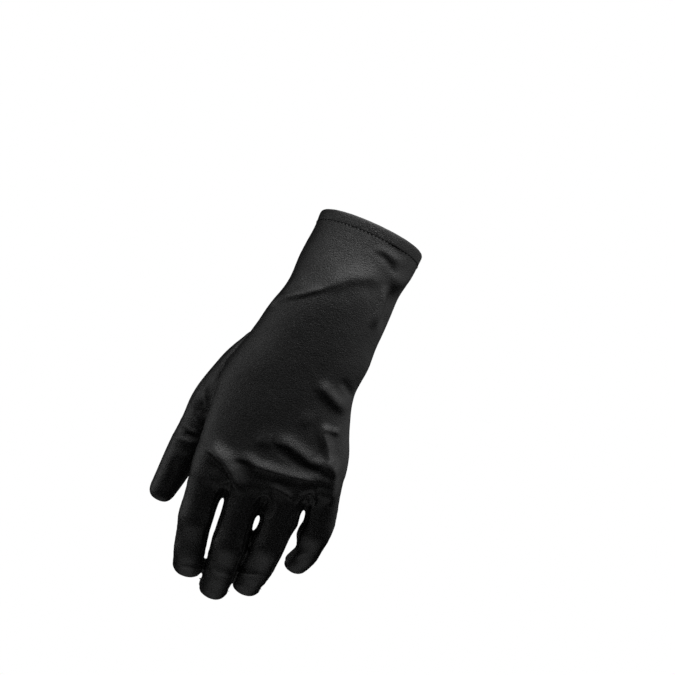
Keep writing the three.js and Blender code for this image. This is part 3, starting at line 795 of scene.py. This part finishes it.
def makeNode(tree, kind, settings=None, inputs=None, output=0):
    node = tree.nodes.new(kind)
    for key, value in (settings or {}).items():
        setattr(node, key, value)
    for key, value in (inputs or {}).items():
        if isinstance(value, Socket):
            tree.links.new(value.socket, node.inputs[key])
        else:
            node.inputs[key].default_value = value
    return Socket(tree, node.outputs[output])


satinLook = {
    "dark": (0.0008, 0.0008, 0.0009, 1), "light": (0.002, 0.002, 0.0022, 1), "roughness": 0.27, "gloss": 0.5,
    "grainRoughness": 0.18, "knitRoughness": 0.12, "knitBump": 0.7, "crumpleBump": 0.5,
    "knit": 2400, "knitDepth": 0.00075, "grain": 1250, "crumple": 170, "crumpleDepth": 0.0004,
}
threadLook = {**satinLook, "knit": 4000, "roughness": 0.75, "gloss": 0.12}


def satinMaterial(name, look):
    material = bpy.data.materials.new(name)
    material.use_nodes = True
    tree = material.node_tree
    tree.nodes.clear()
    place = makeNode(tree, "ShaderNodeTexCoord", output=3)

    def noiseOf(scale, detail):
        return makeNode(tree, "ShaderNodeTexNoise", None, {"Vector": place, "Scale": scale, "Detail": detail})
    knit = noiseOf(look["knit"], 2.0)
    grain, crumple = noiseOf(look["grain"], 3.0), noiseOf(look["crumple"], 3.0)
    colour = makeNode(tree, "ShaderNodeMix", {"data_type": "RGBA"},
                      {0: grain, 6: look["dark"], 7: look["light"]}, output=2)
    roughness = ((grain - 0.5) * look["grainRoughness"] + (knit - 0.5) * look["knitRoughness"]
                 + look["roughness"])
    low = makeNode(tree, "ShaderNodeBump", None,
                   {"Height": crumple, "Distance": look["crumpleDepth"], "Strength": look["crumpleBump"]})
    bump = makeNode(tree, "ShaderNodeBump", None,
                    {"Height": knit * 0.6 + grain * 0.4, "Distance": look["knitDepth"],
                     "Strength": look["knitBump"], "Normal": low})
    shader = makeNode(tree, "ShaderNodeBsdfPrincipled", None, {
        "Base Color": colour, "Roughness": roughness, "Normal": bump,
        "Specular IOR Level": look["gloss"],
    })
    out = tree.nodes.new("ShaderNodeOutputMaterial")
    tree.links.new(shader.socket, out.inputs["Surface"])
    return material


satin = satinMaterial("black_satin", satinLook)
thread = satinMaterial("black_thread", threadLook)


def addPanel(name, index):
    part = bm.copy()
    bmesh.ops.delete(part, geom=[f for f in part.faces if f.material_index != index], context="FACES")
    for f in part.faces:
        f.material_index = 0
        f.smooth = True
    part.normal_update()
    corners = part.verts.layers.int["corner"]
    pulls = []
    for v in part.verts:
        if v.is_boundary and not v[corners]:
            inward = sum((f.calc_center_median() for f in v.link_faces), Vector()) / len(v.link_faces)
            inward -= v.co
            inward -= v.normal * inward.dot(v.normal)
            if inward.length > 1e-7:
                pulls.append((v, inward.normalized() * seamForm["slit"] * mm))
    for v, pull in pulls:
        v.co += pull
    area = sum(f.calc_area() for f in part.faces)
    panel = showObject(meshOf(part, name + "_cloth"), name + "_cloth")
    panel.data.materials.append(satin)
    wall = panel.modifiers.new("cloth", "SOLIDIFY")
    wall.thickness = skinForm["cloth"] * mm
    wall.offset = -1
    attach(panel, "root")
    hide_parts(name)
    print(name, "area", round(area * 1e4, 1), "cm2", len(panel.data.polygons), "faces")


for i, name in enumerate(pieceNames):
    addPanel(name, i)
bm.free()

# the hem, turned in and stitched
hemForm = {
    "corners": 256, "wave": 0.07, "waveSize": (2.4, 2.4, 5), "flat": (0.15, 0.011),
    "stitchRow": 6.15, "stitchOut": 0.12, "stitchCorners": 720, "stitch": 1.25, "pitch": 2.2,
    "threadRadius": 0.31, "threadHalf": 0.55,
    # pairs: down from the rim and in from the cuff's face
    "profile": [(6.1, 0.08), (5.9, 0.0), (5.3, -0.07), (4.2, -0.14), (2.6, -0.2), (1.4, -0.2), (0.75, -0.1),
                (0.3, 0.14), (0.05, 0.5), (0.05, 0.95), (0.35, 1.35), (1.0, 1.5), (2.4, 1.5), (6.1, 1.5)],
}


def hemRing(down, inset, count):
    return handRing(down / handForm["length"], inset, count=count)


print("hem: rolled edge")
bm = bmesh.new()
rings = [hemRing(down, inset, hemForm["corners"]) for down, inset in hemForm["profile"]]
firstEdges, lastEdges = tubeInto(bm, rings)
bmesh.ops.bridge_loops(bm, edges=firstEdges + lastEdges)
bmesh.ops.recalc_face_normals(bm, faces=bm.faces)
for v in bm.verts:
    p = v.co / mm
    wave = noise.noise(Vector([p[k] / hemForm["waveSize"][k] for k in range(3)]))
    v.co += v.normal * hemForm["wave"] * wave * mm
for f in bm.faces:
    f.smooth = True
hem = showObject(meshOf(bm, "cuff_hem_cloth"), "cuff_hem_cloth")
hem.data.materials.append(satin)
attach(hem, "root")
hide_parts("cuff_hem")

print("hem: stitches")
bm = bmesh.new()
ring = hemRing(hemForm["stitchRow"], -hemForm["stitchOut"], hemForm["stitchCorners"])
closed = np.vstack([ring, ring[:1]])
along = np.concatenate([[0], np.cumsum(np.linalg.norm(np.diff(closed, axis=0), axis=1))])
count = round(along[-1] / hemForm["pitch"])
radius, half = hemForm["threadRadius"], hemForm["stitch"] * hemForm["threadHalf"]
for k in range(count):
    start = k * along[-1] / count
    ends = [np.array([np.interp(a, along, closed[:, j]) for j in range(3)])
            for a in (start, start + hemForm["stitch"])]
    middle, run = (ends[0] + ends[1]) / 2, ends[1] - ends[0]
    turnTo = Vector((0, 0, 1)).rotation_difference(Vector(run)).to_matrix()
    for v in bmesh.ops.create_icosphere(bm, subdivisions=1, radius=1)["verts"]:
        v.co = (Vector(middle) + turnTo @ Vector((v.co.x * radius, v.co.y * radius, v.co.z * half))) * mm
for f in bm.faces:
    f.smooth = True
stitches = showObject(meshOf(bm, "hem_stitches"), "hem_stitches")
stitches.data.materials.append(thread)
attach(stitches, "root")

# studio
studio = {
    "eye": (0.0063, -1.6, -0.0577), "up": (-0.4147, 0.0, 0.91), "lens": 160.0,
    "floorDrop": 0.42, "floorSize": 1.3, "floorColour": (0.86, 0.86, 0.86, 1), "floorRoughness": 0.8,
    "skyUp": (-0.1, 0, 0.995), "front": (0, -1, 0), "left": (-1, 0, 0),
    # how bright the air is, from straight below (-1) to straight above (1)
    "sky": [(-1.0, 0.04), (-0.75, 0.004), (-0.45, 0.01), (-0.1, 0.175), (0.12, 0.31), (0.4, 0.38),
            (0.65, 0.6), (0.85, 2.5), (1.0, 3.5)],
    # each glow fades from its first value to its second as the direction passes from start to end
    "behind": {"start": 0.1, "end": -0.75, "values": (1.0, 0.06)},
    "low": {"start": -0.98, "end": -1.15, "values": (0.0, 0.5)},
    "fromLeft": {"start": 0.66, "end": 0.96, "values": (0.0, 1.7)},
    "fromRight": {"start": -0.25, "end": -0.8, "values": (0.0, 0.4)},
    "aboveGround": {"start": -0.65, "end": -0.45, "values": (0.0, 1.0)},
    "belowWaist": {"start": -0.25, "end": 0.0, "values": (1.0, 0.0)},
    "aboveWaist": {"start": -0.2, "end": 0.1, "values": (0.0, 1.0)},
    "lamp": {"at": (0.0, -0.35, 1.0), "aim": (0, 0, -0.11), "size": (0.9, 0.6), "power": 2},
}


def floorMaterial():
    material = bpy.data.materials.new("pale_floor")
    material.use_nodes = True
    shader = material.node_tree.nodes["Principled BSDF"]
    shader.inputs["Base Color"].default_value = studio["floorColour"]
    shader.inputs["Roughness"].default_value = studio["floorRoughness"]
    return material


print("studio: floor, lights and camera")
bm = bmesh.new()
bmesh.ops.create_grid(bm, x_segments=1, y_segments=1, size=studio["floorSize"] / 2)
bmesh.ops.translate(bm, verts=bm.verts, vec=(0, 0, -studio["floorDrop"]))
floor = showObject(meshOf(bm, "floor"), "floor")
floor.data.materials.append(floorMaterial())
floor.visible_glossy = False

world = bpy.data.worlds.new("studio_air")
bpy.context.scene.world = world
world.use_nodes = True
tree = world.node_tree
tree.nodes.clear()
direction = makeNode(tree, "ShaderNodeTexCoord", output=0)
cameraRay = Socket(tree, tree.nodes.new("ShaderNodeLightPath").outputs["Is Camera Ray"])


def towards(name):  # 1 where the direction is the named one, -1 where it is the opposite one
    return makeNode(tree, "ShaderNodeVectorMath", {"operation": "DOT_PRODUCT"},
                    {0: direction, 1: Vector(studio[name])}, output=1)


def fade(value, name):
    start, end = studio[name]["start"], studio[name]["end"]
    low, high = studio[name]["values"]
    return makeNode(tree, "ShaderNodeMapRange", None, {"Value": value, 1: start, 2: end, 3: low, 4: high})


upward, frontward, leftward = towards("skyUp"), towards("front"), towards("left")
sky = tree.nodes.new("ShaderNodeValToRGB")
sky.color_ramp.interpolation = "EASE"
for i, (height, bright) in enumerate(studio["sky"]):
    stop = sky.color_ramp.elements[i] if i < 2 else sky.color_ramp.elements.new(1.0)
    stop.position = (height + 1) / 2
    stop.color = (bright, bright, bright, 1)
tree.links.new((upward * 0.5 + 0.5).socket, sky.inputs[0])
air = Socket(tree, sky.outputs[0]) * fade(frontward, "behind") + fade(frontward * 0.5 + upward, "low")
air += fade(leftward, "fromLeft") * fade(upward, "aboveGround") * fade(upward, "belowWaist")
air += fade(leftward, "fromRight") * fade(upward, "aboveWaist")
strength = cameraRay + (1 - cameraRay) * air  # the backdrop itself is plain white
background = makeNode(tree, "ShaderNodeBackground", None, {"Color": (1, 1, 1, 1), "Strength": strength})
out = tree.nodes.new("ShaderNodeOutputWorld")
tree.links.new(background.socket, out.inputs["Surface"])

data = bpy.data.lights.new("overhead", "AREA")
data.shape = "RECTANGLE"
data.size, data.size_y = studio["lamp"]["size"]
data.energy = studio["lamp"]["power"]
lamp = bpy.data.objects.new("overhead", data)
bpy.context.scene.collection.objects.link(lamp)
lamp.location = studio["lamp"]["at"]
lamp.rotation_euler = (Vector(studio["lamp"]["aim"]) - lamp.location).to_track_quat("-Z", "Y").to_euler()
lamp.visible_camera = False

camera = bpy.data.objects.new("camera", bpy.data.cameras.new("camera"))
bpy.context.scene.collection.objects.link(camera)
camera.data.lens = studio["lens"]
camera.data.sensor_width = 36
camera.data.clip_end = 50
camera.location = studio["eye"]
forward, up = Vector((0, 1, 0)), Vector(studio["up"]).normalized()
right = forward.cross(up)
camera.rotation_mode = "QUATERNION"
camera.rotation_quaternion = Matrix((right, up, -forward)).transposed().to_quaternion()
bpy.context.scene.camera = camera

bpy.context.scene.view_settings.view_transform = "Standard"
